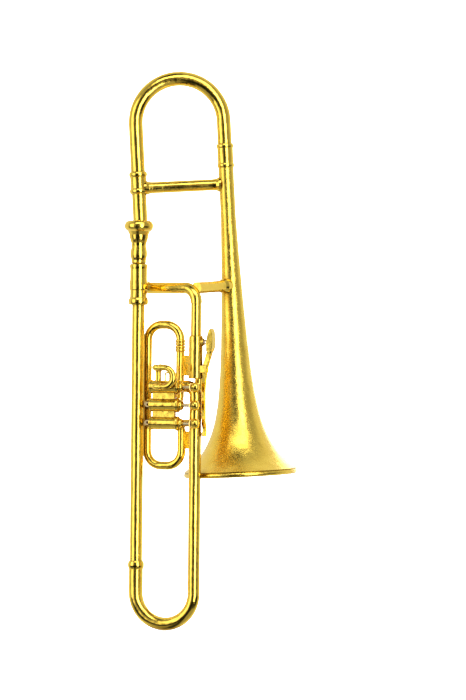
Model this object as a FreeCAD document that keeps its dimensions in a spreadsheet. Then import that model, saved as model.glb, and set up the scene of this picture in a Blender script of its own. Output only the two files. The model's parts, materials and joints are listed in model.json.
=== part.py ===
import FreeCAD, Part
import math
import operator
import os
import types

import Sketcher
from FreeCAD import Placement, Rotation, Vector

# A valve trombone that stands upright, bell down.  Millimetres, +Z up, +X to the
# player's hand side, +Y to the rear.  The origin is the centre of the bell mouth.
#
# Two frames carry the pieces:
#   bell frame   bell, neck and main tuning slide: z runs up the leaning bell axis
#   valve frame  mouthpiece tube, valves and their slides: x runs from the mouthpiece
#                tube to the long riser, y to the rear, z up the long tubes

SIZES = (
    # placing of the two frames
    ("bell_lean", 2.75),
    ("mouth_level", 2.7),
    ("valve_turn", 20.25),
    ("valve_lean", 0.59),
    ("valve_left", 186.7),
    ("valve_front", 46.0),
    # bell: radius = base + flare * exp(-z / flare_length) + stem * exp(-z / stem_length)
    ("flare_base", 1.1),
    ("flare_swell", 80.15),
    ("flare_length", 46.0),
    ("stem_swell", 42.6),
    ("stem_length", 395.0),
    ("bell_skin", 1.6),
    ("bell_skin_end", 13.3),
    ("bell_stem_start", 470.0),
    ("bell_top", 560.0),
    ("rim_wire", 5.0),
    ("rim_spread", 98.0),
    # main tuning slide and the neck beside it
    ("crook_radius", 79.5),
    ("crook_centre", 645.0),
    ("crook_outer", 13.1),
    ("crook_bore", 11.8),
    ("slide_outer", 12.05),
    ("slide_bore", 11.0),
    ("slide_socket", 12.1),
    ("slide_grip", 15.0),
    ("bell_slide_length", 125.0),
    ("neck_slide_length", 95.0),
    ("bell_ferrule_top", 603.0),
    ("neck_ferrule_top", 560.0),
    ("neck_ferrule_length", 40.0),
    ("neck_outer", 13.3),
    ("neck_bottom", 463.0),
    ("ferrule_skin", 14.6),
    ("bell_bead", 15.8),
    ("neck_ferrule_skin", 15.2),
    ("neck_bead", 16.9),
    ("bead_width", 8.0),
    # braces
    ("brace_radius", 10.5),
    ("brace_foot", 13.6),
    ("upper_brace_level", 530.0),
    ("lower_brace_level", 341.5),
    # mouthpiece and its tube
    ("shank", 9.0),
    ("shank_socket", 9.05),
    ("shank_bottom", 335.0),
    ("receiver_bottom", 310.5),
    ("receiver_length", 73.8),
    ("receiver_outer", 16.0),
    ("receiver_ring", 16.6),
    ("leadpipe_outer", 11.5),
    ("leadpipe_bore", 10.0),
    ("leadpipe_bottom", -185.0),
    ("leadpipe_top", 318.0),
    ("leadpipe_socket", 11.52),
    ("ring_bottom", -163.0),
    ("ring_length", 14.5),
    ("sleeve_outer", 12.95),
    # the long riser and the bottom bow
    ("riser_across", 111.1),
    ("riser_outer", 11.0),
    ("riser_bore", 9.6),
    ("riser_joint", 120.0),
    ("bow_level", -204.3),
    ("bow_bore", 9.6),
    # gooseneck and outlet
    ("gooseneck_outer", 10.5),
    ("gooseneck_bore", 9.2),
    ("outlet_outer", 9.45),
    ("outlet_bore", 8.2),
    ("outlet_top", 314.5),
    ("outlet_bottom", 232.0),
    ("outlet_sleeve_outer", 12.6),
    ("outlet_sleeve_bottom", 179.5),
    ("outlet_sleeve_top", 256.5),
    ("transfer_outer", 6.8),
    ("transfer_bore", 5.8),
    # valves: three casings that lie along x, in front of the tubes
    ("valve_depth", -24.0),
    ("top_valve_level", 164.7),
    ("valve_pitch", 32.4),
    ("casing_outer", 11.5),
    ("casing_bore", 9.5),
    ("casing_left", 38.0),
    ("casing_right", 84.0),
    ("cap_outer", 12.2),
    ("collar_outer", 12.6),
    ("piston_radius", 9.45),
    ("piston_left", 56.0),
    ("piston_length", 26.0),
    ("piston_port", 4.4),
    ("stem_radius", 3.0),
    ("stem_guide", 3.06),
    ("stem_end", 112.0),
    ("button_left", 110.0),
    ("button_radius", 8.4),
    ("spring_radius", 6.6),
    ("spring_wire", 0.5),
    ("spring_left", 37.5),
    ("spring_right", 55.5),
    # the two long valve slides, an upper and a lower U behind the casings
    ("loop_depth", 20.0),
    ("loop_left", 11.4),
    ("upper_loop_right", 73.7),
    ("lower_loop_right", 77.5),
    ("loop_outer", 7.8),
    ("loop_tube_outer", 7.6),
    ("loop_bore", 6.3),
    ("loop_tube_bore", 6.35),
    ("loop_spigot_bore", 5.4),
    ("loop_bend", 27.0),
    ("loop_spigot", 34.0),
    ("upper_loop_top", 275.5),
    ("upper_loop_joint", 238.5),
    ("upper_tube_bottom", 145.0),
    ("lower_loop_bottom", 22.7),
    ("lower_loop_joint", 50.0),
    ("lower_tube_top", 88.0),
    ("loop_ferrule", 9.4),
    ("loop_ferrule_length", 10.5),
    ("knuckle_outer", 6.2),
    ("knuckle_bore", 5.2),
    # the short slide curled in front of the top casing
    ("curl_depth", -45.0),
    ("curl_low", 165.0),
    ("curl_high", 199.0),
    ("curl_left", 49.0),
    ("curl_joint", 64.0),
    ("curl_centre", 69.0),
    ("curl_outer", 5.5),
    ("curl_spigot", 4.4),
    ("curl_bore", 4.45),
    ("curl_spigot_bore", 3.5),
    ("curl_ferrule", 6.7),
    ("ring_wire", 1.6),
    ("ring_across", 74.9),
    ("ring_half_width", 4.4),
    ("ring_half_height", 8.4),
    # water key on the riser side
    ("key_pivot_across", 129.0),
    ("key_pivot_level", 197.0),
    ("key_half_width", 4.5),
    ("key_touch_width", 17.0),
    ("key_hub", 4.2),
    ("key_pin", 1.2),
    ("key_pin_hole", 1.25),
    ("key_ear_gap", 4.8),
    ("key_ear", 2.4),
    ("key_pad_level", 81.0),
    ("nipple_outer", 3.2),
    ("nipple_bore", 1.5),
    ("cork_radius", 4.2),
)

UP = Rotation()
RIGHT = Rotation(Vector(0, 1, 0), 90)
FRONT = Rotation(Vector(1, 0, 0), 90)
OPERATIONS = {"+": operator.add, "-": operator.sub, "*": operator.mul, "/": operator.truediv}

doc = FreeCAD.newDocument("valve_trombone")
sheet = doc.addObject("Spreadsheet::Sheet", "Sizes")
parts = {}


class Size:
    """A number worked out from the sheet, kept with the expression that gives it."""

    def __init__(self, text, value):
        self.text = text
        self.value = value

    def joined(self, sign, other, swapped=False):
        left, right = (as_size(other), self) if swapped else (self, as_size(other))
        value = OPERATIONS[sign](left.value, right.value)
        return Size(f"({left.text} {sign} {right.text})", value)

    def __add__(self, other):
        return self.joined("+", other)

    def __radd__(self, other):
        return self.joined("+", other, swapped=True)

    def __sub__(self, other):
        return self.joined("-", other)

    def __rsub__(self, other):
        return self.joined("-", other, swapped=True)

    def __mul__(self, other):
        return self.joined("*", other)

    def __rmul__(self, other):
        return self.joined("*", other, swapped=True)

    def __truediv__(self, other):
        return self.joined("/", other)

    def __neg__(self):
        return Size(f"(0 - {self.text})", -self.value)

    def __float__(self):
        return float(self.value)


def as_size(number):
    return number if isinstance(number, Size) else Size(f"({float(number)})", float(number))


def fill_sheet():
    """Write the driving sizes and return them as attributes."""
    sizes = types.SimpleNamespace()
    for row, (alias, value) in enumerate(SIZES, start=1):
        sheet.set(f"A{row}", alias)
        sheet.set(f"B{row}", str(value))
        sheet.setAlias(f"B{row}", alias)
        setattr(sizes, alias, Size(f"Sizes.{alias}", value))
    doc.recompute()
    return sizes


D = fill_sheet()
WORLD = Placement(Vector(0, 0, -float(D.mouth_level)), Rotation())
LEANING = Rotation(Vector(0, 1, 0), -float(D.bell_lean))
BELL = Placement(LEANING.multVec(Vector(0, 0, -float(D.mouth_level))), LEANING)
VALVE = Placement(
    Vector(-float(D.valve_left), -float(D.valve_front), -float(D.mouth_level)),
    Rotation(Vector(0, 0, 1), -float(D.valve_turn)) * Rotation(Vector(0, 1, 0), float(D.valve_lean)),
)


def vector(x, y, z):
    return Vector(float(x), float(y), float(z))


def at(frame, x, y, z, facing=UP):
    """Placement at a point of a frame, with the piece's own z turned to face a way."""
    return frame.multiply(Placement(vector(x, y, z), facing))


def bind(thing, name, size):
    """Set a property to a size and keep it bound to the sheet."""
    thing.setExpression(name, as_size(size).text)


def keep(name, thing):
    """Name a finished sub-part and list it for export."""
    thing.Label = name
    parts[name] = thing
    return thing


# --- sketches -----------------------------------------------------------------


def new_sketch(body, role, name):
    """An empty sketch on one of the body's own origin planes."""
    sketch = body.newObject("Sketcher::SketchObject", name)
    face = next(plane for plane in body.Origin.OriginFeatures if plane.Role == role)
    sketch.AttachmentSupport = (face, [""])
    sketch.MapMode = "FlatFace"
    return sketch


def pin_point(sketch, edge, end, x, y):
    """Hold one end of a sketch edge at bound distances from the sketch origin."""
    for kind, size in (("DistanceX", as_size(x)), ("DistanceY", as_size(y))):
        rule = Sketcher.Constraint(kind, -1, 1, edge, end, size.value)
        index = sketch.addConstraint(rule)
        sketch.setExpression(f"Constraints[{index}]", size.text)


def arc_through(start, end, rise):
    """Arc between two points that bulges to the right of the way it runs."""
    run = end - start
    side = Vector(run.y, -run.x, 0).normalize()
    return Part.Arc(start, (start + end) * 0.5 + side * rise, end)


def closed_outline(sketch, corners):
    """Close a loop through the corners; a third number is the bulge of the edge to it."""
    points = [vector(corner[0], corner[1], 0) for corner in corners]
    for index, corner in enumerate(corners):
        start, end = points[index - 1], points[index]
        bulge = corner[2] if len(corner) > 2 else 0
        shape = arc_through(start, end, bulge) if bulge else Part.LineSegment(start, end)
        edge = sketch.addGeometry(shape, False)
        drawn = sketch.Geometry[edge]
        finish = 2 if (drawn.EndPoint - end).Length < (drawn.StartPoint - end).Length else 1
        begin = 3 - finish
        pin_point(sketch, edge, finish, corner[0], corner[1])
        if index:
            sketch.addConstraint(Sketcher.Constraint("Coincident", last[0], last[1], edge, begin))
        else:
            first = (edge, begin)
        last = (edge, finish)
    sketch.addConstraint(Sketcher.Constraint("Coincident", last[0], last[1], first[0], first[1]))


# --- ways of making a piece ---------------------------------------------------


def turned(name, corners, place):
    """A piece turned on a lathe: corners are (radius, height) round its outline."""
    body = doc.addObject("PartDesign::Body", name)
    sketch = new_sketch(body, "XZ_Plane", f"{name}_outline")
    closed_outline(sketch, corners)
    turn = body.newObject("PartDesign::Revolution", f"{name}_turn")
    turn.Profile = sketch
    turn.ReferenceAxis = (sketch, ["V_Axis"])
    turn.Angle = 360
    body.Placement = place
    return body


def tube(name, outer, bore, length, place):
    """A straight tube that starts at its place and runs up its own z."""
    return turned(name, [(bore, 0), (outer, 0), (outer, length), (bore, length)], place)


def padded(name, corners, width):
    """A flat piece: an outline in x and z, as thick as the width, centred on y."""
    body = doc.addObject("PartDesign::Body", name)
    sketch = new_sketch(body, "XZ_Plane", f"{name}_outline")
    closed_outline(sketch, corners)
    pad = body.newObject("PartDesign::Pad", f"{name}_pad")
    pad.Profile = sketch
    pad.Midplane = True
    bind(pad, "Length", width)
    body.Placement = VALVE
    return body


def ferrule_outline(bore, skin, bead, width, length):
    """A sleeve with a half-round bead at each end."""
    swell = float(bead) - float(skin)
    return [(bore, 0), (skin, 0), (skin, width, swell), (skin, length - width),
            (skin, length, swell), (bore, length)]


def route_wire(points, bends):
    """Straight runs in space joined by tangent arcs, one bend radius for each corner."""
    spots = [vector(*point) for point in points]
    edges = []
    start = spots[0]
    for before, corner, after, bend in zip(spots, spots[1:], spots[2:], bends):
        arrive = (corner - before).normalize()
        leave = (after - corner).normalize()
        turn = arrive.getAngle(leave)
        reach = float(bend) * math.tan(turn / 2)
        enter, out = corner - arrive * reach, corner + leave * reach
        inward = (leave - arrive).normalize()
        middle = corner + inward * float(bend) * (1 / math.cos(turn / 2) - 1)
        edges.append(Part.LineSegment(start, enter).toShape())
        edges.append(Part.Arc(enter, middle, out).toShape())
        start = out
    edges.append(Part.LineSegment(start, spots[-1]).toShape())
    return Part.Wire(edges)


def swept_rod(wire, radius, end_radius=None):
    """A solid rod along a wire, tapered where an end radius is given."""
    rings = []
    for where, size in ((0, radius), (-1, end_radius)):
        if size is None:
            continue
        edge = wire.Edges[where]
        spot = edge.valueAt(edge.FirstParameter if where == 0 else edge.LastParameter)
        along = edge.tangentAt(edge.FirstParameter if where == 0 else edge.LastParameter)
        rings.append(Part.Wire([Part.Circle(spot, along, float(size)).toShape()]))
    return wire.makePipeShell(rings, True, False)


def placed_shape(name, shape, place):
    """A document object that holds a shape made from the sheet's sizes."""
    thing = doc.addObject("Part::Feature", name)
    thing.Shape = shape
    thing.Placement = place
    return thing


def crooked_tube(name, points, bends, outer, bore, place):
    """A tube whose route leaves one plane, with its outer rod and its bore as helpers."""
    wire = route_wire(points, bends)
    rod = swept_rod(wire, outer)
    hollow = swept_rod(wire, bore)
    pipe = placed_shape(name, rod.cut(hollow), place)
    return pipe, placed_shape(f"{name}_rod", rod, place), placed_shape(f"{name}_bore", hollow, place)


def cylinder(name, radius, height, place):
    rod = doc.addObject("Part::Cylinder", name)
    bind(rod, "Radius", radius)
    bind(rod, "Height", height)
    rod.Placement = place
    return rod


def box(name, length, width, height, place):
    block = doc.addObject("Part::Box", name)
    bind(block, "Length", length)
    bind(block, "Width", width)
    bind(block, "Height", height)
    block.Placement = place
    return block


def less(name, base, *tools):
    """Cut the tools out of a piece, one after the other."""
    for index, tool in enumerate(tools):
        cut = doc.addObject("Part::Cut", f"{name}_cut_{index}")
        cut.Base = base
        cut.Tool = tool
        base = cut
    return base


def joined(name, *pieces):
    """Fuse pieces that are soldered into one."""
    doc.recompute()
    shape = pieces[0].Shape.fuse([piece.Shape for piece in pieces[1:]])
    return placed_shape(f"{name}_joined", shape, Placement())


def bent_tube(name, corners, bend, outer, bore, place):
    """A tube along upright and level runs in x and z; it starts upright at its own origin."""
    route = [(x, 0, z) for x, z in corners]
    pipe, _, _ = crooked_tube(name, route, (bend, bend), outer, bore, place)
    return pipe


# --- bell section ---------------------------------------------------------------


def bell_radius(level):
    flare = float(D.flare_swell) * math.exp(-level / float(D.flare_length))
    stem = float(D.stem_swell) * math.exp(-level / float(D.stem_length))
    return float(D.flare_base) + flare + stem


def bell_slope(level):
    flare = float(D.flare_swell) / float(D.flare_length) * math.exp(-level / float(D.flare_length))
    stem = float(D.stem_swell) / float(D.stem_length) * math.exp(-level / float(D.stem_length))
    return -flare - stem


def bell_curve(inset, last, stations=16):
    """Spline of the flare, moved inwards by an inset measured square to the skin."""
    start = float(D.bell_skin_end)
    points = []
    for index in range(stations + 1):
        level = start + (last - start) * (index / stations) ** 2.2
        slope = bell_slope(level)
        stretch = math.hypot(1, slope)
        points.append(Vector(bell_radius(level) - inset / stretch, 0, level + inset * slope / stretch))
    curve = Part.BSplineCurve()
    curve.interpolate(points)
    return curve.toShape(), points


def spun(edges):
    """Turn a closed chain of edges about z."""
    return Part.Face(Part.Wire(edges)).revolve(Vector(), Vector(0, 0, 1), 360)


def line(start, end):
    return Part.LineSegment(start, end).toShape()


def make_bell():
    """The flared skin with its stem, and the wire rolled into its rim."""
    stem_start = float(D.bell_stem_start)
    top = float(D.bell_top)
    stem_radius = bell_radius(stem_start)
    outer_edge, outer = bell_curve(0, stem_start)
    inner_edge, inner = bell_curve(float(D.bell_skin), stem_start - 40)
    socket = float(D.slide_socket)
    corner = Vector(stem_radius, 0, top)
    seat = Vector(socket, 0, stem_start)
    mouth = Vector(socket, 0, top)
    skin = spun([
        outer_edge, line(outer[-1], corner), line(corner, mouth), line(mouth, seat),
        line(seat, inner[-1]), inner_edge, line(inner[0], outer[0]),
    ])
    foot, crown = Vector(0, 0, outer[0].z), Vector(0, 0, top)
    core = spun([line(foot, outer[0]), outer_edge, line(outer[-1], corner), line(corner, crown),
                 line(crown, foot)])
    wire = doc.addObject("Part::Torus", "bell_rim")
    bind(wire, "Radius1", D.rim_spread)
    bind(wire, "Radius2", D.rim_wire)
    wire.Placement = at(BELL, 0, 0, D.mouth_level + D.rim_wire)
    keep("bell_rim", wire)
    keep("bell", less("bell", placed_shape("bell_skin_shape", skin, BELL), wire))
    return placed_shape("bell_core", core, BELL)


def make_tuning_slide():
    """The big crook at the top, its two inner tubes and the ferrules they enter."""
    across = D.crook_radius * 2
    neck_x = float(-across)
    leg = D.crook_centre - D.neck_ferrule_top
    right_leg = D.crook_centre - D.bell_ferrule_top
    top = leg + D.crook_radius
    crook = bent_tube(
        "tuning_crook", [(0, 0), (0, top), (across, top), (across, leg - right_leg)],
        D.crook_radius - 0.05, D.crook_outer, D.crook_bore, at(BELL, neck_x, 0, D.neck_ferrule_top))
    pieces = [crook]
    legs = ((0, D.bell_ferrule_top, D.bell_slide_length), (neck_x, D.neck_ferrule_top, D.neck_slide_length))
    for index, (x, top_level, length) in enumerate(legs):
        place = at(BELL, x, 0, top_level + D.slide_grip - length)
        pieces.append(tube(f"tuning_leg_{index}", D.slide_outer, D.slide_bore, length, place))
    keep("tuning_slide", joined("tuning_slide", *pieces))
    collar = ferrule_outline(D.slide_socket, D.ferrule_skin, D.bell_bead, D.bead_width,
                             D.bell_ferrule_top - D.bell_top)
    keep("bell_ferrule", turned("bell_ferrule", collar, at(BELL, 0, 0, D.bell_top)))
    bottom = D.neck_ferrule_top - D.neck_ferrule_length
    collar = ferrule_outline(D.slide_socket, D.neck_ferrule_skin, D.neck_bead, D.bead_width + 2,
                             D.neck_ferrule_length)
    keep("neck_ferrule", turned("neck_ferrule", collar, at(BELL, neck_x, 0, bottom)))
    depth = bottom - D.neck_bottom
    outline = [(D.gooseneck_outer, 0), (D.neck_outer - 1.2, 0), (D.neck_outer, 2.5),
               (D.neck_outer, depth), (D.slide_socket, depth), (D.slide_socket, 14),
               (D.gooseneck_outer, 12)]
    keep("neck", turned("neck", outline, at(BELL, neck_x, 0, D.neck_bottom)))


def brace_outline(length):
    """A round brace with a flared foot at each end."""
    rod, foot = D.brace_radius, D.brace_foot
    return [(0, 0), (foot, 0), (foot, 4), (rod + 0.6, 9), (rod, 16), (rod, length - 16),
            (rod + 0.6, length - 9), (foot, length - 4), (foot, length), (0, length)]


def make_braces(bell_core, gooseneck_rod):
    """Upper brace from neck to bell, lower brace from the gooseneck to the bell."""
    neck_x = -D.crook_radius * 2
    ferrule = cylinder("neck_ferrule_core", D.neck_ferrule_skin + 0.1, D.neck_ferrule_length + 20,
                       at(BELL, neck_x, 0, D.neck_ferrule_top - D.neck_ferrule_length - 20))
    gap = D.bead_width + 2
    ring = tube("neck_bead_space", D.brace_foot * 2, D.neck_ferrule_skin, gap,
                at(BELL, neck_x, 0, D.neck_ferrule_top - gap))
    rod = turned("upper_brace_rod", brace_outline(D.crook_radius * 2 - 20),
                 at(BELL, neck_x + 10, 0, D.upper_brace_level, RIGHT))
    keep("upper_brace", less("upper_brace", rod, ferrule, ring, bell_core, parts["neck_ferrule"]))
    start = VALVE.multVec(vector(D.riser_across, 0, D.lower_brace_level))
    end = BELL.multVec(vector(0, 0, D.lower_brace_level + 5))
    run = end - start
    place = Placement(start, Rotation(Vector(0, 0, 1), run))
    rod, foot, length = D.brace_radius, D.brace_foot, run.Length
    outline = [(0, 0), (rod, 0), (rod, length - 38), (rod + 0.6, length - 31), (foot, length - 25),
               (foot, length), (0, length)]
    keep("lower_brace", less("lower_brace", turned("lower_brace_rod", outline, place),
                             gooseneck_rod, bell_core))


# --- mouthpiece side --------------------------------------------------------------


def make_mouthpiece():
    """Rim, cup, throat and shank, turned in one piece, standing in its receiver."""
    shank = D.shank
    outline = [
        (6, 0), (shank, 0), (shank, 49.3), (12.6, 49.8), (13.6, 51.5), (13.4, 56), (14.6, 60),
        (14.6, 75, 0.9), (13.2, 81.7), (14.2, 87), (17.6, 101.5, 0.5), (20.4, 107.5),
        (24.4, 110.6), (23.2, 125, 2.5), (19.5, 126.7), (15.2, 125.4), (13.2, 119),
        (9.5, 104), (3.3, 96.5), (3.3, 88),
    ]
    keep("mouthpiece", turned("mouthpiece", outline, at(VALVE, 0, 0, D.shank_bottom)))


def make_leadpipe():
    """Receiver, the long mouthpiece tube, its lower ring and the sleeve under it."""
    length = D.receiver_length
    outer, ring, seat = D.receiver_outer, D.receiver_ring, D.shank_bottom - D.receiver_bottom
    socket = D.leadpipe_top - D.receiver_bottom
    outline = [
        (D.leadpipe_socket, 0), (ring, 0), (ring, 12.5, 1.6), (outer - 0.6, 13.5),
        (outer - 0.6, 26), (outer + 0.2, 30, 0.3), (outer + 0.2, 42, 0.2), (outer - 0.4, 46),
        (outer - 0.4, length - 9), (outer, length - 7), (outer, length - 1.5, 0.3),
        (outer - 1.2, length), (D.shank_socket, length), (D.shank_socket, seat), (6.5, seat),
        (6.5, socket), (D.leadpipe_socket, socket),
    ]
    keep("receiver", turned("receiver", outline, at(VALVE, 0, 0, D.receiver_bottom)))
    keep("leadpipe", tube("leadpipe", D.leadpipe_outer, D.leadpipe_bore,
                          D.leadpipe_top - D.leadpipe_bottom, at(VALVE, 0, 0, D.leadpipe_bottom)))
    long = D.ring_bottom - D.bow_level
    outline = [(D.leadpipe_socket, 0), (D.sleeve_outer, 0), (D.sleeve_outer, long),
               (D.sleeve_outer, long + D.ring_length, 2), (D.leadpipe_socket, long + D.ring_length)]
    keep("bow_sleeve", turned("bow_sleeve", outline, at(VALVE, 0, 0, D.bow_level)))


def make_bottom_bow():
    """The U at the foot, which narrows from the sleeve to the riser."""
    radius, level = float(D.riser_across) / 2, float(D.bow_level)
    arc = Part.Arc(Vector(0, 0, level), Vector(radius, 0, level - radius),
                   Vector(2 * radius, 0, level))
    wire = Part.Wire([arc.toShape()])
    outer = swept_rod(wire, D.sleeve_outer, D.riser_outer)
    bore = swept_rod(wire, D.bow_bore + 0.6, D.bow_bore)
    keep("bottom_bow", placed_shape("bottom_bow", outer.cut(bore), VALVE))


def make_riser(casing_core):
    """The long tube up from the bow, and the crook that carries it into the top casing."""
    across, depth = D.riser_across, D.valve_depth
    keep("riser", tube("riser", D.riser_outer, D.riser_bore, D.riser_joint - D.bow_level,
                       at(VALVE, across, 0, D.bow_level)))
    level = D.top_valve_level + 1
    route = [(across, 0, D.riser_joint), (across, 0, level), (72, 0, level), (72, depth, level)]
    pipe, _, bore = crooked_tube("intake_crook", route, (16, 11.6), D.riser_outer - 0.3,
                                 D.riser_bore - 1, VALVE)
    keep("intake_crook", less("intake_crook", pipe, casing_core))
    return bore


def make_gooseneck():
    """From the neck down behind the mouthpiece, across, and down towards the outlet."""
    to_world = WORLD.inverse()
    neck = to_world.multVec(BELL.multVec(vector(-D.crook_radius * 2, 0, D.neck_bottom)))
    elbow = Vector(-184.5, 0, float(D.lower_brace_level))
    turn = to_world.multVec(VALVE.multVec(vector(D.riser_across, 0, D.lower_brace_level)))
    foot = to_world.multVec(VALVE.multVec(vector(D.riser_across, 0, D.outlet_top)))
    route = [neck, elbow, turn, foot]
    pipe, rod, _ = crooked_tube("gooseneck", route, (30, 26), D.gooseneck_outer,
                                D.gooseneck_bore, WORLD)
    keep("gooseneck", pipe)
    return rod


def make_receiver_stay(gooseneck_rod):
    """Short brace between the receiver and the gooseneck behind it."""
    level = D.lower_brace_level + 31
    axis = VALVE.multVec(vector(0, 0, level))
    place = Placement(axis, Rotation(Vector(1, 0, 0), -90))
    outline = [(0, 8), (7, 8), (7, 18), (5, 22), (5, 30), (7, 34), (7, 46), (0, 46)]
    core = cylinder("receiver_core", D.receiver_outer, 40, at(VALVE, 0, 0, level - 20))
    rod = turned("receiver_stay_rod", outline, place)
    keep("receiver_stay", less("receiver_stay", rod, core, gooseneck_rod))


def make_outlet(casing_core):
    """Outlet tube, the thick sleeve it stands in, and the transfer tube from the last valve."""
    across = D.riser_across
    keep("outlet_tube", tube("outlet_tube", D.outlet_outer, D.outlet_bore,
                             D.outlet_top - D.outlet_bottom, at(VALVE, across, 0, D.outlet_bottom)))
    tall = D.outlet_sleeve_top - D.outlet_sleeve_bottom
    outer, bore = D.outlet_sleeve_outer, D.outlet_outer
    outline = [(0, 0), (outer - 1.4, 0), (outer, 1.6), (outer, tall - 1.6), (outer - 1.4, tall),
               (bore + 0.02, tall), (bore + 0.02, 4), (0, 4)]
    sleeve = turned("outlet_sleeve_blank", outline, at(VALVE, across, 0, D.outlet_sleeve_bottom))
    level = D.top_valve_level - 2 * D.valve_pitch
    route = [(across, 2, 205), (104, 34, 205), (104, 34, level), (74, -13, level),
             (69, -20.8, level)]
    wire_bends = (14, 14, 40)
    pipe, rod, hollow = crooked_tube("transfer_tube", route, wire_bends, D.transfer_outer,
                                     D.transfer_bore, VALVE)
    sleeve_core = cylinder("outlet_sleeve_core", outer, tall,
                           at(VALVE, across, 0, D.outlet_sleeve_bottom))
    keep("transfer_tube", less("transfer_tube", pipe, sleeve_core, casing_core))
    keep("outlet_sleeve", less("outlet_sleeve", sleeve, hollow))
    return hollow, rod


# --- valves -------------------------------------------------------------------------


def casing_level(number):
    return D.top_valve_level - (number - 1) * D.valve_pitch


def casing_cores():
    """Full outer shapes of the casings and bottom caps, for trimming what is soldered to them."""
    length = D.casing_right - D.casing_left
    cap = D.cap_outer + 0.2
    outline = [(0, -4.4), (cap, -4.4), (cap, 0.2), (D.casing_outer, 0.2), (D.casing_outer, length),
               (0, length)]
    return [turned(f"casing_{number}_core", outline,
                   at(VALVE, D.casing_left, D.valve_depth, casing_level(number), RIGHT))
            for number in (1, 2, 3)]


def make_casing(number, bores):
    """One casing, its end caps, piston, return spring and finger button."""
    depth, level = D.valve_depth, casing_level(number)
    blank = tube(f"casing_{number}_blank", D.casing_outer, D.casing_bore,
                 D.casing_right - D.casing_left, at(VALVE, D.casing_left, depth, level, RIGHT))
    keep(f"casing_{number}", less(f"casing_{number}", blank, *bores))

    outer, plug = D.cap_outer, D.piston_radius
    outline = [(0, 0), (9.4, 0), (outer, 1.5), (outer, 4), (plug, 4), (plug, 6), (7.6, 6),
               (7.6, 3), (0, 3)]
    keep(f"bottom_cap_{number}", turned(f"bottom_cap_{number}", outline,
                                        at(VALVE, D.casing_left - 4, depth, level, RIGHT)))

    collar, guide = D.collar_outer, D.stem_guide
    outline = [(guide, 0), (plug, 0), (plug, 1.5), (collar, 1.5), (collar, 6, 0.6), (10.6, 7.6),
               (8.6, 7.6), (8.6, 12, 0.5), (6.8, 14), (guide, 14)]
    keep(f"top_cap_{number}", turned(f"top_cap_{number}", outline,
                                     at(VALVE, D.casing_right - 1.5, depth, level, RIGHT)))

    length, stem = D.piston_length, D.stem_radius
    reach = D.stem_end - D.piston_left
    outline = [(0, 0), (plug, 0), (plug, length), (stem, length), (stem, reach), (0, reach)]
    blank = turned(f"piston_{number}_blank", outline, at(VALVE, D.piston_left, depth, level, RIGHT))
    ports = [cylinder(f"piston_{number}_port_{index}", D.piston_port, 2 * plug + 2,
                      at(VALVE, D.piston_left + along, depth + plug + 1, level, FRONT))
             for index, along in enumerate((6.5, 19.5))]
    keep(f"piston_{number}", less(f"piston_{number}", blank, *ports))

    button = D.button_radius
    outline = [(0, 2), (stem + 0.02, 2), (stem + 0.02, 0), (4.8, 0), (4.8, 3), (button, 5.4),
               (button + 0.8, 7.6), (button + 0.8, 11.2), (button, 13.4), (6.4, 16.6, 0.5), (2.6, 17.4),
               (0, 17.4)]
    keep(f"button_{number}", turned(f"button_{number}", outline,
                                    at(VALVE, D.button_left, depth, level, RIGHT)))

    mean, wire = D.spring_radius, D.spring_wire
    keep(f"spring_{number}", tube(f"spring_{number}", mean + wire, mean - wire,
                                  D.spring_right - D.spring_left,
                                  at(VALVE, D.spring_left, depth, level, RIGHT)))


def make_webs(cores):
    """Flat webs soldered between neighbouring casings."""
    for number, (upper, lower) in enumerate(zip(cores, cores[1:]), start=1):
        block = box(f"web_{number}_block", 42, 9, D.valve_pitch,
                    at(VALVE, 40, D.valve_depth - 4.5, casing_level(number + 1)))
        keep(f"casing_web_{number}", less(f"casing_web_{number}", block, upper, lower))


# --- the long valve slides ------------------------------------------------------------


def slide_bow(name, left, right, joint, far, direction, *extras):
    """A U of tube with an inner tube standing in each end, drawn upright or upside down."""
    facing = UP if direction > 0 else Rotation(Vector(1, 0, 0), 180)
    reach = (far - joint) * direction
    width = right - left
    corners = [(0, 0), (0, reach), (width, reach), (width, 0)]
    place = at(VALVE, left, D.loop_depth, joint, facing)
    pieces = [bent_tube(f"{name}_bow", corners, D.loop_bend, D.loop_outer, D.loop_bore - 0.3, place)]
    pieces.extend(spigots(name, width, D.loop_bore, D.loop_spigot_bore, D.loop_spigot, place))
    keep(name, joined(name, *pieces, *extras))


def spigots(name, width, outer, bore, length, place):
    """Inner tubes that stand out of both ends of a U, below its own origin."""
    return [tube(f"{name}_spigot_{index}", outer, bore, length + 3,
                 place.multiply(Placement(vector(x, 0, -length), Rotation())))
            for index, x in enumerate((0, width))]


def make_upper_loop(core):
    """Second valve's slide: U on top, outer tubes, ferrules and the knuckles into the casing."""
    left, right, depth = D.loop_left, D.upper_loop_right, D.loop_depth
    joint, bottom = D.upper_loop_joint, D.upper_tube_bottom
    long = D.loop_ferrule_length
    bead = (D.loop_ferrule, long / 2 - 0.5, long)
    outline = ferrule_outline(D.loop_outer - 0.4, D.loop_outer + 0.4, *bead)
    ferrule = turned("upper_slide_ferrule", outline, at(VALVE, right, depth, joint))
    slide_bow("upper_slide", left, right, joint, D.upper_loop_top, 1, ferrule)
    outline = ferrule_outline(D.loop_tube_bore, D.loop_tube_outer + 0.6, *bead)
    ferrule = turned("upper_tube_ferrule", outline, at(VALVE, right, depth, joint - 0.3 - long))
    level = casing_level(2)
    return slide_tubes("upper", joint - 0.3, bottom, level, right, 68, (core,), ferrule)


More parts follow.
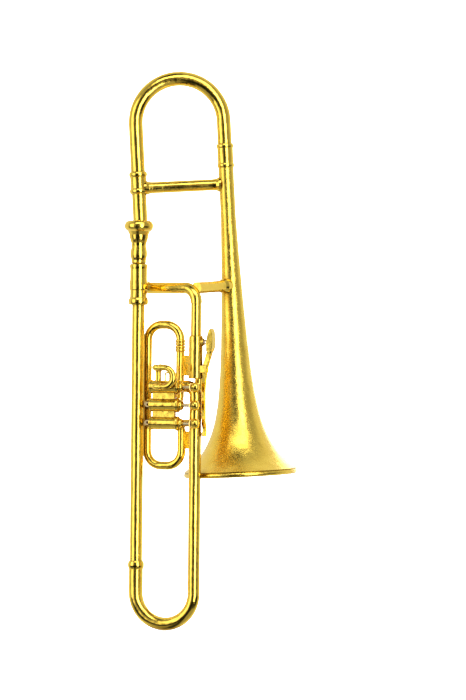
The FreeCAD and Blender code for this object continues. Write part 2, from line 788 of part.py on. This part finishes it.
def make_lower_loop(core, transfer_rod):
    """Third valve's slide: U at the bottom, outer tubes that elbow into the casing."""
    left, right = D.loop_left, D.lower_loop_right
    joint, top = D.lower_loop_joint, D.lower_tube_top
    slide_bow("lower_slide", left, right, joint, D.lower_loop_bottom, -1)
    return slide_tubes("lower", joint + 0.3, top, casing_level(3), right, 57, (core, transfer_rod))


def slide_tubes(name, joint, bend_start, level, right, right_port, cutters, *extras):
    """The two outer tubes of a slide, each with its elbow forward into the casing."""
    hollows = []
    for side, x, port in (("left", D.loop_left, 43), ("right", right, right_port)):
        low = joint if float(joint) < float(bend_start) else bend_start
        length = (bend_start - joint) * (1 if low is joint else -1)
        straight = tube(f"{name}_{side}_straight", D.loop_tube_outer, D.loop_tube_bore, length,
                        at(VALVE, x, D.loop_depth, low))
        route = [(x, D.loop_depth, bend_start), (x, D.loop_depth, level),
                 (port, D.valve_depth + 4, level)]
        outer = D.knuckle_outer + (0.9 if side == "left" else 0.3)
        pipe, rod, hollow = crooked_tube(f"{name}_knuckle_{side}", route, (9.5,), outer,
                                         D.knuckle_bore, VALVE)
        elbow = less(f"{name}_elbow_{side}", pipe, *cutters)
        pieces = [straight, elbow] + (list(extras) if side == "right" else [])
        keep(f"{name}_tube_{side}", joined(f"{name}_tube_{side}", *pieces))
        hollows.append(hollow)
        if side == "left":
            left_rod = rod
    return hollows, left_rod


def make_loop_stays(upper_rod, lower_rod):
    """The rod that carries the left legs on past the valves, and the flat stays."""
    left, depth = D.loop_left, D.loop_depth
    low, high = D.lower_tube_top + 3, D.upper_tube_bottom - 3
    rod = cylinder("loop_stay_rod", D.loop_tube_outer - 0.4, high - low, at(VALVE, left, depth, low))
    keep("loop_stay", less("loop_stay", rod, upper_rod, lower_rod))
    flat_stay("sleeve_stay", D.upper_loop_right, D.loop_tube_outer, D.outlet_sleeve_outer, 184.5, 221)
    flat_stay("riser_stay", D.lower_loop_right, D.loop_tube_outer, D.riser_outer, 54, 85.5)


def flat_stay(name, across, near_radius, far_radius, bottom, top):
    """A flat plate between a slide tube and a tube of the riser column."""
    depth = float(D.loop_depth)
    run = vector(D.riser_across, 0, 0) - vector(across, depth, 0)
    turn = Rotation(Vector(0, 0, 1), math.degrees(math.atan2(run.y, run.x)))
    place = at(VALVE, across, depth, bottom, turn).multiply(Placement(Vector(0, -2, 0), Rotation()))
    plate = box(f"{name}_plate", run.Length, 4, top - bottom, place)
    near = cylinder(f"{name}_near", near_radius, top - bottom + 2, at(VALVE, across, depth, bottom - 1))
    far = cylinder(f"{name}_far", far_radius, top - bottom + 2,
                   at(VALVE, D.riser_across, 0, bottom - 1))
    keep(name, less(name, plate, near, far))


# --- the short slide curled in front ----------------------------------------------------


def make_curl(core):
    """First valve's slide: two stubs off the top casing, a small U and its pull ring."""
    depth, left, joint = D.curl_depth, D.curl_left, D.curl_joint
    routes = {
        "low": [(joint - 0.3, depth, D.curl_low), (left, depth, D.curl_low),
                (left, D.valve_depth - 3, D.curl_low)],
        "high": [(joint - 0.3, depth, D.curl_high), (left, depth, D.curl_high),
                 (left, D.valve_depth, D.curl_high), (left, D.valve_depth, D.top_valve_level + 3)],
    }
    hollows = []
    for side, route in routes.items():
        pipe, _, hollow = crooked_tube(f"curl_{side}", route, (6.6, 7.5), D.curl_outer,
                                       D.curl_bore, VALVE)
        outline = ferrule_outline(D.curl_outer - 0.2, D.curl_outer + 0.4, D.curl_ferrule, 2.2, 5)
        band = turned(f"curl_{side}_band", outline, at(VALVE, joint - 5.3, depth, route[0][2], RIGHT))
        keep(f"curl_tube_{side}", less(f"curl_tube_{side}", joined(f"curl_{side}", pipe, band), core))
        hollows.append(hollow)
    radius = (D.curl_high - D.curl_low) / 2
    straight = D.curl_centre - joint
    facing = Rotation(Vector(0, 1, 0), 90)
    place = at(VALVE, joint, depth, D.curl_high, facing)
    across = radius * 2
    reach = straight + radius
    bend = radius - 0.05
    bow = bent_tube("curl_bow", [(0, 0), (0, reach), (across, reach), (across, 0)], bend,
                    D.curl_outer, D.curl_spigot - 0.2, place)
    inner = spigots("curl", across, D.curl_spigot, D.curl_spigot_bore, 7, place)
    keep("curl_slide", joined("curl_slide", bow, *inner))
    wire = route_wire([(0, 0, 0), (0, 0, reach), (across, 0, reach), (across, 0, 0)],
                      (bend, bend))
    rod = placed_shape("curl_rod", swept_rod(wire, D.curl_outer), place)
    make_pull_ring(rod)
    return hollows


def make_pull_ring(curl_rod):
    """The oval ring inside the small U, for pulling the slide."""
    wide, high = float(D.ring_half_width), float(D.ring_half_height)
    rise = high - wide
    level = float(D.curl_low + D.curl_high) / 2
    centre = vector(D.ring_across, D.curl_depth, level)

    def spot(x, z):
        return centre + Vector(x, 0, z)

    edges = [
        Part.LineSegment(spot(-wide, -rise), spot(-wide, rise)).toShape(),
        Part.Arc(spot(-wide, rise), spot(0, high), spot(wide, rise)).toShape(),
        Part.LineSegment(spot(wide, rise), spot(wide, -rise)).toShape(),
        Part.Arc(spot(wide, -rise), spot(0, -high), spot(-wide, -rise)).toShape(),
    ]
    ring = placed_shape("pull_ring_shape", swept_rod(Part.Wire(edges), D.ring_wire), VALVE)
    keep("pull_ring", less("pull_ring", ring, curl_rod))


# --- water key ---------------------------------------------------------------------------


def make_water_key():
    """The long lever on the riser, its saddle, pivot pin, spring, cork and nipple."""
    pivot_x, pivot_z, half = D.key_pivot_across, D.key_pivot_level, D.key_half_width
    arm = padded("key_arm", [
        (126.6, 76.5), (131.8, 77.5), (132.2, 87), (130.2, 104), (129.6, 160), (131, 176),
        (133.6, 197), (138.5, 214), (143.6, 230), (138, 236), (132.4, 226), (129.4, 216),
        (126.4, 206), (125, 180), (124.7, 100), (126.6, 88),
    ], half * 2)
    touch = padded("key_touch", [
        (133.2, 229), (139.5, 225), (144.2, 232), (145.6, 250, 0.5), (144.4, 263), (141.6, 269.5),
        (138, 267), (134.6, 256), (132.8, 242),
    ], D.key_touch_width)
    hub = cylinder("key_hub_disc", D.key_hub, half * 2, at(VALVE, pivot_x, half, pivot_z, FRONT))
    hole = cylinder("key_hub_hole", D.key_pin_hole, half * 4, at(VALVE, pivot_x, half * 2, pivot_z, FRONT))
    keep("key_lever", less("key_lever", joined("key_lever", arm, touch, hub), hole))

    gap, ear = D.key_ear_gap, D.key_ear
    span = (gap + ear) * 2
    sleeve = cylinder("key_saddle_sleeve", D.outlet_sleeve_outer, 40,
                      at(VALVE, D.riser_across, 0, pivot_z - 20))
    block = box("key_saddle_block", 14.5, span, 13, at(VALVE, pivot_x - 10, -gap - ear, pivot_z - 6.5))
    slot = box("key_saddle_slot", 30, gap * 2, 20, at(VALVE, pivot_x - 15, -gap, pivot_z - 10))
    pin = cylinder("key_pin", D.key_pin, span, at(VALVE, pivot_x, gap + ear, pivot_z, FRONT))
    ears = less("key_saddle", block, slot, sleeve)
    keep("key_saddle", joined("key_saddle", ears, pin))

    seat = turned("key_spring_seat_blank", [(0, 8), (7, 8), (7, 13.6), (6, 15.2, 0.4), (0, 15.2)],
                  at(VALVE, D.riser_across, 0, 245, RIGHT))
    sleeve = cylinder("key_seat_sleeve", D.outlet_sleeve_outer, 40, at(VALVE, D.riser_across, 0, 220))
    keep("key_spring_seat", less("key_spring_seat", seat, sleeve))
    keep("key_spring", turned("key_spring", [(3.2, 0), (5.4, 0), (4.6, 4.6), (2.8, 4.6)],
                              at(VALVE, D.riser_across + 15.5, 0, 245, RIGHT)))

    level = D.key_pad_level
    cork = D.cork_radius
    keep("key_cork", turned("key_cork", [(0, 0), (cork, 0), (cork, 1.6), (0, 1.6)],
                            at(VALVE, 125, 0, level, RIGHT)))
    nipple = turned("nipple_blank", [(D.nipple_bore, 8), (D.nipple_outer + 0.8, 8),
                                     (D.nipple_outer, 12), (D.nipple_outer, 13.5),
                                     (D.nipple_bore, 13.5)],
                    at(VALVE, D.riser_across, 0, level, RIGHT))
    pipe = cylinder("nipple_riser", D.riser_outer, 20, at(VALVE, D.riser_across, 0, level - 10))
    keep("key_nipple", less("key_nipple", nipple, pipe))


# --- the whole instrument -------------------------------------------------------------------


def build():
    bell_core = make_bell()
    make_tuning_slide()
    gooseneck_rod = make_gooseneck()
    make_braces(bell_core, gooseneck_rod)
    make_mouthpiece()
    make_leadpipe()
    make_bottom_bow()
    make_receiver_stay(gooseneck_rod)
    cores = casing_cores()
    bores = {1: [], 2: [], 3: []}
    bores[1].append(make_riser(cores[0]))
    transfer_bore, transfer_rod = make_outlet(cores[2])
    bores[3].append(transfer_bore)
    upper_bores, upper_rod = make_upper_loop(cores[1])
    lower_bores, lower_rod = make_lower_loop(cores[2], transfer_rod)
    bores[2].extend(upper_bores)
    bores[3].extend(lower_bores)
    make_loop_stays(upper_rod, lower_rod)
    bores[1].extend(make_curl(cores[0]))
    for number in (1, 2, 3):
        make_casing(number, bores[number])
    make_webs(cores)
    make_water_key()
    doc.recompute()


def check_and_export():
    """Stop on any failed feature or bad solid, then write one file for each sub-part."""
    failed = [thing.Label for thing in doc.Objects
              if "Invalid" in thing.State or "Error" in thing.State]
    if failed:
        raise RuntimeError(f"failed: {failed}")
    os.makedirs("parts", exist_ok=True)
    for name, thing in parts.items():
        shape = thing.Shape
        if shape.isNull() or not shape.isValid() or len(shape.Solids) != 1:
            raise RuntimeError(f"{name} is not one valid solid: {len(shape.Solids)} solids")
    for name, thing in parts.items():
        thing.Shape.exportStep(f"parts/{name}.step")
    print(len(parts), "sub-parts written")


build()
check_and_export()
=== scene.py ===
import json
import math

import bmesh
import bpy
from mathutils import Matrix, Vector


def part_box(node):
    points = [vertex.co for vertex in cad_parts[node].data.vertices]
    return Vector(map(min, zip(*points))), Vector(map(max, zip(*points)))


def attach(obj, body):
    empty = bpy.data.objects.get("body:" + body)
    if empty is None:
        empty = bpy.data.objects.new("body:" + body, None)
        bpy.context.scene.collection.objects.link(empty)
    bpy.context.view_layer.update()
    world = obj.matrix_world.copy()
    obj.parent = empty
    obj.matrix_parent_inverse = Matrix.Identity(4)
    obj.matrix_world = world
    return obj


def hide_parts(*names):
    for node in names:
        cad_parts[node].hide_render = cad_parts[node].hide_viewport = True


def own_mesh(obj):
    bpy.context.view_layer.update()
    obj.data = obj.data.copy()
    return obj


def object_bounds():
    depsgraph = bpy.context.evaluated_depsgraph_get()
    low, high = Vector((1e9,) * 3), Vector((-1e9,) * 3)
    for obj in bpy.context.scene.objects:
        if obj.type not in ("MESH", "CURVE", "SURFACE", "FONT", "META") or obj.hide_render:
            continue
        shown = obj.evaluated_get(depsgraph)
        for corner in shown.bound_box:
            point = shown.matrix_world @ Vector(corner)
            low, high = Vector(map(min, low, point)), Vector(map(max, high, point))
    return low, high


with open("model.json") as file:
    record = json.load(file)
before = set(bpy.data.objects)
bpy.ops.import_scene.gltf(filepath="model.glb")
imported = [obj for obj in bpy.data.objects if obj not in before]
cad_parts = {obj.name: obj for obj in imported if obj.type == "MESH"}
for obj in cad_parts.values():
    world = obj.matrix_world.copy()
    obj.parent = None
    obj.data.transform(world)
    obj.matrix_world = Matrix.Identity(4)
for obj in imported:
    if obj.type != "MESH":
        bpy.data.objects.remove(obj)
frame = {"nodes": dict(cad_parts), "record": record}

# A gold-plated valve trombone against seamless white, seen square from the front. Everything is in
# metres in the row frame: X to the right, Y away from the viewer, Z up.

start_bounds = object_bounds()

VALVES = (1, 2, 3)
VALVE_YAW = math.radians(-20.25)
VALVE_PITCH = math.radians(0.59)
VALVE_TURN = Matrix.Rotation(VALVE_YAW, 3, "Z") @ Matrix.Rotation(VALVE_PITCH, 3, "Y")
VALVE_AXIS = VALVE_TURN @ Vector((1, 0, 0))


# ---------------------------------------------------------------- materials

GOLD = (0.93, 0.66, 0.10)
DEEP_GOLD = (0.74, 0.43, 0.04)
PAINTED_SHADE_REACH = 0.014
SCRATCH_DEPTH = 0.00002
TOOL_MARK_DEPTH = 0.00004
PILE_DEPTH = 0.0003
EDGE_WIDTH = 0.0005


class Shader:
    """A material's node tree, built one named step at a time."""

    def __init__(self, name):
        self.material = bpy.data.materials.new(name)
        self.material.use_nodes = True
        self.tree = self.material.node_tree
        self.tree.nodes.clear()
        self.surface = self.add("ShaderNodeBsdfPrincipled")
        output = self.add("ShaderNodeOutputMaterial")
        self.link(self.surface.outputs["BSDF"], output.inputs["Surface"])
        self.place = self.add("ShaderNodeTexCoord").outputs["Object"]

    def add(self, kind, **settings):
        node = self.tree.nodes.new(kind)
        for key, value in settings.items():
            setattr(node, key, value)
        return node

    def link(self, source, target):
        self.tree.links.new(source, target)

    def stretched(self, factors):
        """The object's own coordinates, scaled along each axis."""
        mapping = self.add("ShaderNodeMapping")
        mapping.inputs["Scale"].default_value = factors
        self.link(self.place, mapping.inputs["Vector"])
        return mapping.outputs["Vector"]

    def noise(self, scale, detail=3.0, roughness=0.55, stretch=None):
        node = self.add("ShaderNodeTexNoise")
        node.inputs["Scale"].default_value = scale
        node.inputs["Detail"].default_value = detail
        node.inputs["Roughness"].default_value = roughness
        self.link(self.stretched(stretch) if stretch else self.place, node.inputs["Vector"])
        return node.outputs["Fac"]

    def spread(self, source, low, high, from_low=0.3, from_high=0.7):
        """The stretch of `source` between from_low and from_high, laid out from low to high."""
        node = self.add("ShaderNodeMapRange")
        node.inputs["From Min"].default_value = from_low
        node.inputs["From Max"].default_value = from_high
        node.inputs["To Min"].default_value = low
        node.inputs["To Max"].default_value = high
        self.link(source, node.inputs["Value"])
        return node.outputs["Result"]

    def mix(self, factor, first, second):
        node = self.add("ShaderNodeMix", data_type="RGBA")
        self.link(factor, node.inputs[0])
        colours = [s for s in node.inputs if s.type == "RGBA"]
        for socket, value in zip(colours, (first, second)):
            if isinstance(value, tuple):
                socket.default_value = (*value, 1)
            else:
                self.link(value, socket)
        return [s for s in node.outputs if s.type == "RGBA"][0]

    def bump(self, height, depth, strength=1.0, under=None):
        node = self.add("ShaderNodeBump")
        node.inputs["Strength"].default_value = strength
        node.inputs["Distance"].default_value = depth
        self.link(height, node.inputs["Height"])
        if under:
            self.link(under, node.inputs["Normal"])
        return node.outputs["Normal"]

    def recess(self, reach):
        """1 in the open, less where other surfaces stand within `reach`."""
        node = self.add("ShaderNodeAmbientOcclusion", samples=6)
        node.inputs["Distance"].default_value = reach
        return node.outputs["AO"]


def gold(name, colour, deep, polish, grain, waviness):
    """Gold plate over a casting: `polish` is the roughness range, `grain` the depth of the fine skin."""
    shader = Shader(name)
    surface = shader.surface.inputs
    surface["Metallic"].default_value = 1
    cloud = shader.noise(55, 4)
    tone = shader.mix(shader.spread(cloud, 0, 0.35), colour, deep)
    # Painted shade: where other surfaces stand within reach, as in hollows and between parts, the base
    # colour is darkened towards a dim brown-gold.
    painted_shade_mask = shader.spread(shader.recess(PAINTED_SHADE_REACH), 1, 0, 0.35, 0.95)
    painted_shade_colour = tuple(0.55 * c for c in deep)
    shader.link(shader.mix(painted_shade_mask, tone, painted_shade_colour), surface["Base Color"])
    smear = shader.noise(160, 5, 0.7)
    shader.link(shader.spread(smear, *polish), surface["Roughness"])
    wavy = shader.bump(shader.noise(38, 2), waviness)
    skin = shader.bump(shader.noise(520, 3, 0.6), grain, under=wavy)
    hairs = shader.spread(shader.noise(30, 6, 0.8, stretch=(40, 40, 1.5)), 0, 1, 0.56, 0.6)
    shader.link(shader.bump(hairs, SCRATCH_DEPTH, 0.5, under=skin), surface["Normal"])
    return shader.material


def steel(name, colour, polish):
    """Turned and lapped metal with fine tool marks."""
    shader = Shader(name)
    surface = shader.surface.inputs
    surface["Metallic"].default_value = 1
    shade = tuple(0.7 * c for c in colour)
    shader.link(shader.mix(shader.noise(90), colour, shade), surface["Base Color"])
    shader.link(shader.spread(shader.noise(260, 4), *polish), surface["Roughness"])
    lines = shader.noise(60, 3, 0.6, stretch=(30, 2, 2))
    shader.link(shader.bump(lines, TOOL_MARK_DEPTH, 0.6), surface["Normal"])
    return shader.material


def soft(name, colour, deep, fineness):
    """Cork or felt: matt, uneven in tone, with a coarse pile."""
    shader = Shader(name)
    surface = shader.surface.inputs
    shader.link(shader.mix(shader.spread(shader.noise(fineness, 5, 0.7), 0, 1), colour, deep),
                surface["Base Color"])
    shader.link(shader.spread(shader.noise(fineness * 0.6), 0.75, 0.95), surface["Roughness"])
    shader.link(shader.bump(shader.noise(fineness * 1.4, 4), PILE_DEPTH), surface["Normal"])
    return shader.material


tube_gold = gold("tube_gold", GOLD, DEEP_GOLD, (0.10, 0.20), 0.00004, 0.0011)
bell_gold = gold("bell_gold", GOLD, DEEP_GOLD, (0.20, 0.32), 0.00022, 0.0012)
button_gold = gold("button_gold", GOLD, DEEP_GOLD, (0.08, 0.16), 0.00003, 0.0005)
piston_steel = steel("piston_steel", (0.80, 0.66, 0.36), (0.18, 0.32))
spring_steel = steel("spring_steel", (0.66, 0.60, 0.48), (0.25, 0.4))
cork = soft("cork", (0.42, 0.24, 0.11), (0.20, 0.10, 0.04), 900)
felt = soft("felt", (0.50, 0.32, 0.08), (0.28, 0.16, 0.03), 1400)

MATERIAL_OF_SLOT = {
    "bell_gold": bell_gold,
    "tube_gold": tube_gold,
    "button_gold": button_gold,
    "piston_metal": piston_steel,
    "spring_steel": spring_steel,
    "cork": cork,
}
for entry in frame["record"]["subparts"]:
    mesh = frame["nodes"][entry["node"]].data
    mesh.materials.clear()
    mesh.materials.append(MATERIAL_OF_SLOT[entry["material_slot"]])


def ease_edges(thing):
    """Softens hard edges the way plating does: doubled points closed up, then a narrow bevel."""
    weld = thing.modifiers.new("weld", "WELD")
    weld.merge_threshold = EDGE_WIDTH / 250
    bevel = thing.modifiers.new("edges", "BEVEL")
    bevel.width = EDGE_WIDTH
    bevel.segments = 2
    bevel.limit_method = "ANGLE"
    bevel.angle_limit = math.radians(38)
    normals = thing.modifiers.new("normals", "WEIGHTED_NORMAL")
    normals.keep_sharp = True


# ---------------------------------------------------------------- built pieces

COIL_STEPS = 36
COIL_SIDES = 10
KEY_COIL = {"mean": (0.0047, 0.0041), "wire": 0.00042, "height": 0.0046, "turns": 3.2, "closed": 0.3}
VALVE_COIL = {"mean": (0.0066, 0.0066), "wire": 0.00045, "height": 0.018, "turns": 7.0, "closed": 0.27}
FELT_RING = {"inner": 0.00486, "outer": 0.0070, "low": 0.0004, "high": 0.0027, "ease": 0.0006}


def new_piece(name, shape, material):
    """A smooth-shaded object made from the bmesh `shape`."""
    mesh = bpy.data.meshes.new(name)
    bmesh.ops.recalc_face_normals(shape, faces=shape.faces)
    shape.to_mesh(mesh)
    shape.free()
    mesh.shade_smooth()
    mesh.materials.append(material)
    thing = bpy.data.objects.new(name, mesh)
    bpy.context.scene.collection.objects.link(thing)
    return thing


def lathe(name, outline, base, axis, material, steps=64):
    """A closed ring turned about `axis` through `base`; `outline` lists (radius, height) in metres."""
    turn = axis.to_track_quat("Z", "Y").to_matrix()
    shape = bmesh.new()
    rings = []
    for step in range(steps):
        angle = 2 * math.pi * step / steps
        out = turn @ Vector((math.cos(angle), math.sin(angle), 0))
        rings.append([shape.verts.new(base + out * r + axis * h) for r, h in outline])
    for one, other in zip(rings, rings[1:] + rings[:1]):
        for i, low in enumerate(one):
            j = (i + 1) % len(outline)
            shape.faces.new((low, other[i], other[j], one[j]))
    return new_piece(name, shape, material)


def rounded(inner, outer, low, high, ease):
    """The outline of a washer whose outer edges are eased."""
    return [(inner, low), (outer - ease, low), (outer - 0.3 * ease, low + 0.3 * ease),
            (outer, low + ease), (outer, high - ease), (outer - 0.3 * ease, high - 0.3 * ease),
            (outer - ease, high), (inner, high)]


def left_end(node):
    """The point on a valve part's axis where the part starts, at its left-hand end."""
    low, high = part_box(node)
    centre = (low + high) / 2
    start = min((v.co - centre).dot(VALVE_AXIS) for v in frame["nodes"][node].data.vertices)
    return centre + VALVE_AXIS * start


def coil(name, node, mean, wire, height, turns, joint, closed):
    """A wire coil along the valve axis in place of `node`; `mean` is its radius at each end.
    `joint` and `closed` are not used."""
    base = left_end(node)
    turn = VALVE_AXIS.to_track_quat("Z", "Y").to_matrix()
    steps = int(COIL_STEPS * turns)
    shape = bmesh.new()
    rings = []
    for step in range(steps + 1):
        share = step / steps
        angle = 2 * math.pi * turns * share
        radius = mean[0] + (mean[1] - mean[0]) * share
        out = turn @ Vector((math.cos(angle), math.sin(angle), 0))
        lift = wire + (height - 2 * wire) * share
        centre = base + out * radius + VALVE_AXIS * lift
        rings.append([])
        for side in range(COIL_SIDES):
            around = 2 * math.pi * side / COIL_SIDES
            offset = (out * math.cos(around) + VALVE_AXIS * math.sin(around)) * wire
            rings[-1].append(shape.verts.new(centre + offset))
    for one, other in zip(rings, rings[1:]):
        for side in range(COIL_SIDES):
            after = (side + 1) % COIL_SIDES
            shape.faces.new((one[side], one[after], other[after], other[side]))
    shape.faces.new(rings[0])
    shape.faces.new(rings[-1])
    thing = new_piece(name, shape, spring_steel)
    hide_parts(node)
    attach(thing, "frame")
    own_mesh(thing)


coil("key_coil", "key_spring", joint="water_key_press", **KEY_COIL)
for number in VALVES:
    coil(f"coil_{number}", f"spring_{number}", joint=f"valve_{number}_press", **VALVE_COIL)
    ring = lathe(f"felt_{number}", rounded(**FELT_RING), left_end(f"button_{number}"), VALVE_AXIS, felt)
    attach(ring, f"valve_{number}")


HARD_EDGED = ["casing_web_1", "casing_web_2", "sleeve_stay", "riser_stay", "key_lever", "key_saddle"]
HARD_EDGED += [f"top_cap_{number}" for number in VALVES]
for node in HARD_EDGED:
    ease_edges(frame["nodes"][node])


# ---------------------------------------------------------------- studio

FRONT_LEVEL = 0.42
BACK_LEVEL = 0.92
GAP_LEVEL = 0.08
GAP_EDGE = 0.14
STAGE_RADIUS = 14
FLOOR_GAP = 0.0006
LIGHT_TARGET = Vector((0, 0, 0.22))
LIGHT_REACH = 2.6


def white_stage():
    """Pure white floor and a far round wall. Their glow is even, so no edge or shadow shows."""
    shader = Shader("white_stage")
    surface = shader.surface.inputs
    surface["Base Color"].default_value = (0.9, 0.9, 0.9, 1)
    surface["Roughness"].default_value = 0.9
    surface["Emission Color"].default_value = (1, 1, 1, 1)
    surface["Emission Strength"].default_value = 1.0
    made = []
    ground = bmesh.new()
    bmesh.ops.create_circle(ground, cap_ends=True, radius=STAGE_RADIUS, segments=96)
    wall = bmesh.new()
    bmesh.ops.create_uvsphere(wall, u_segments=48, v_segments=24, radius=STAGE_RADIUS)
    for name, shape in (("floor", ground), ("backdrop", wall)):
        mesh = bpy.data.meshes.new(name)
        shape.to_mesh(mesh)
        shape.free()
        mesh.materials.append(shader.material)
        thing = bpy.data.objects.new(name, mesh)
        bpy.context.scene.collection.objects.link(thing)
        thing.visible_glossy = False
        made.append(thing)
    made[0].location.z = start_bounds[0].z - FLOOR_GAP
    return made


def softbox(name, azimuth, elevation, width, height, glow):
    """A rectangular light of even radiance `glow`, turned to the middle of the instrument.
    Azimuth 0 is the viewer's side, and it grows to the right."""
    light = bpy.data.lights.new(name, "AREA")
    light.shape = "RECTANGLE"
    light.size = width
    light.size_y = height
    light.energy = glow * math.pi * width * height
    lamp = bpy.data.objects.new(name, light)
    a, e = math.radians(azimuth), math.radians(elevation)
    away = Vector((math.sin(a) * math.cos(e), -math.cos(a) * math.cos(e), math.sin(e)))
    lamp.location = LIGHT_TARGET + away * LIGHT_REACH
    lamp.rotation_euler = away.to_track_quat("Z", "Y").to_euler()
    lamp.visible_camera = False
    bpy.context.scene.collection.objects.link(lamp)


def room():
    """What the metal mirrors beyond the lights: a pale room behind, a dimmer one in front of it,
    with one dark upright gap left of the viewer and one dark level gap below."""
    world = bpy.data.worlds.new("room")
    bpy.context.scene.world = world
    world.use_nodes = True
    tree = world.node_tree
    background = tree.nodes["Background"]
    split = tree.nodes.new("ShaderNodeSeparateXYZ")
    tree.links.new(tree.nodes.new("ShaderNodeTexCoord").outputs["Generated"], split.inputs["Vector"])

    def maths(operation, first, second):
        node = tree.nodes.new("ShaderNodeMath")
        node.operation = operation
        for socket, value in zip(node.inputs, (first, second)):
            if isinstance(value, (int, float)):
                socket.default_value = value
            else:
                tree.links.new(value, socket)
        return node.outputs["Value"]

    def eased(value, start, end, low, high):
        node = tree.nodes.new("ShaderNodeMapRange")
        node.interpolation_type = "SMOOTHSTEP"
        for name, number in (("From Min", start), ("From Max", end), ("To Min", low), ("To Max", high)):
            node.inputs[name].default_value = number
        tree.links.new(value, node.inputs["Value"])
        return node.outputs["Result"]

    def gap(component, centre, half):
        off = maths("ABSOLUTE", maths("SUBTRACT", split.outputs[component], centre), 0)
        return eased(off, half, half + GAP_EDGE, GAP_LEVEL, 1)

    dark = maths("MULTIPLY", gap("X", -0.20, 0.13), gap("Z", -0.32, 0.14))
    front = maths("MULTIPLY", dark, FRONT_LEVEL)
    behind = eased(split.outputs["Y"], -0.25, 0.35, 0, 1)
    lit = maths("MULTIPLY", maths("SUBTRACT", BACK_LEVEL, front), behind)
    tree.links.new(maths("ADD", front, lit), background.inputs["Strength"])
    background.inputs["Color"].default_value = (1, 1, 1, 1)


white_stage()
room()
softbox("key", 21, 4, 1.0, 2.6, 5.5)
softbox("fill", -58, 8, 1.5, 2.4, 1.6)
softbox("top", 5, 48, 2.4, 1.1, 3.0)
softbox("rear_key", 158, 10, 1.0, 2.4, 2.5)

camera_data = bpy.data.cameras.new("camera")
camera_data.lens = 185
camera_data.sensor_width = 36
camera = bpy.data.objects.new("camera", camera_data)
camera.location = (-0.014, -6.5, 0.227)
camera.rotation_euler = (math.radians(90), 0, 0)
bpy.context.scene.collection.objects.link(camera)
bpy.context.scene.camera = camera

settings = bpy.context.scene.view_settings
settings.view_transform = "Standard"
settings.look = "None"
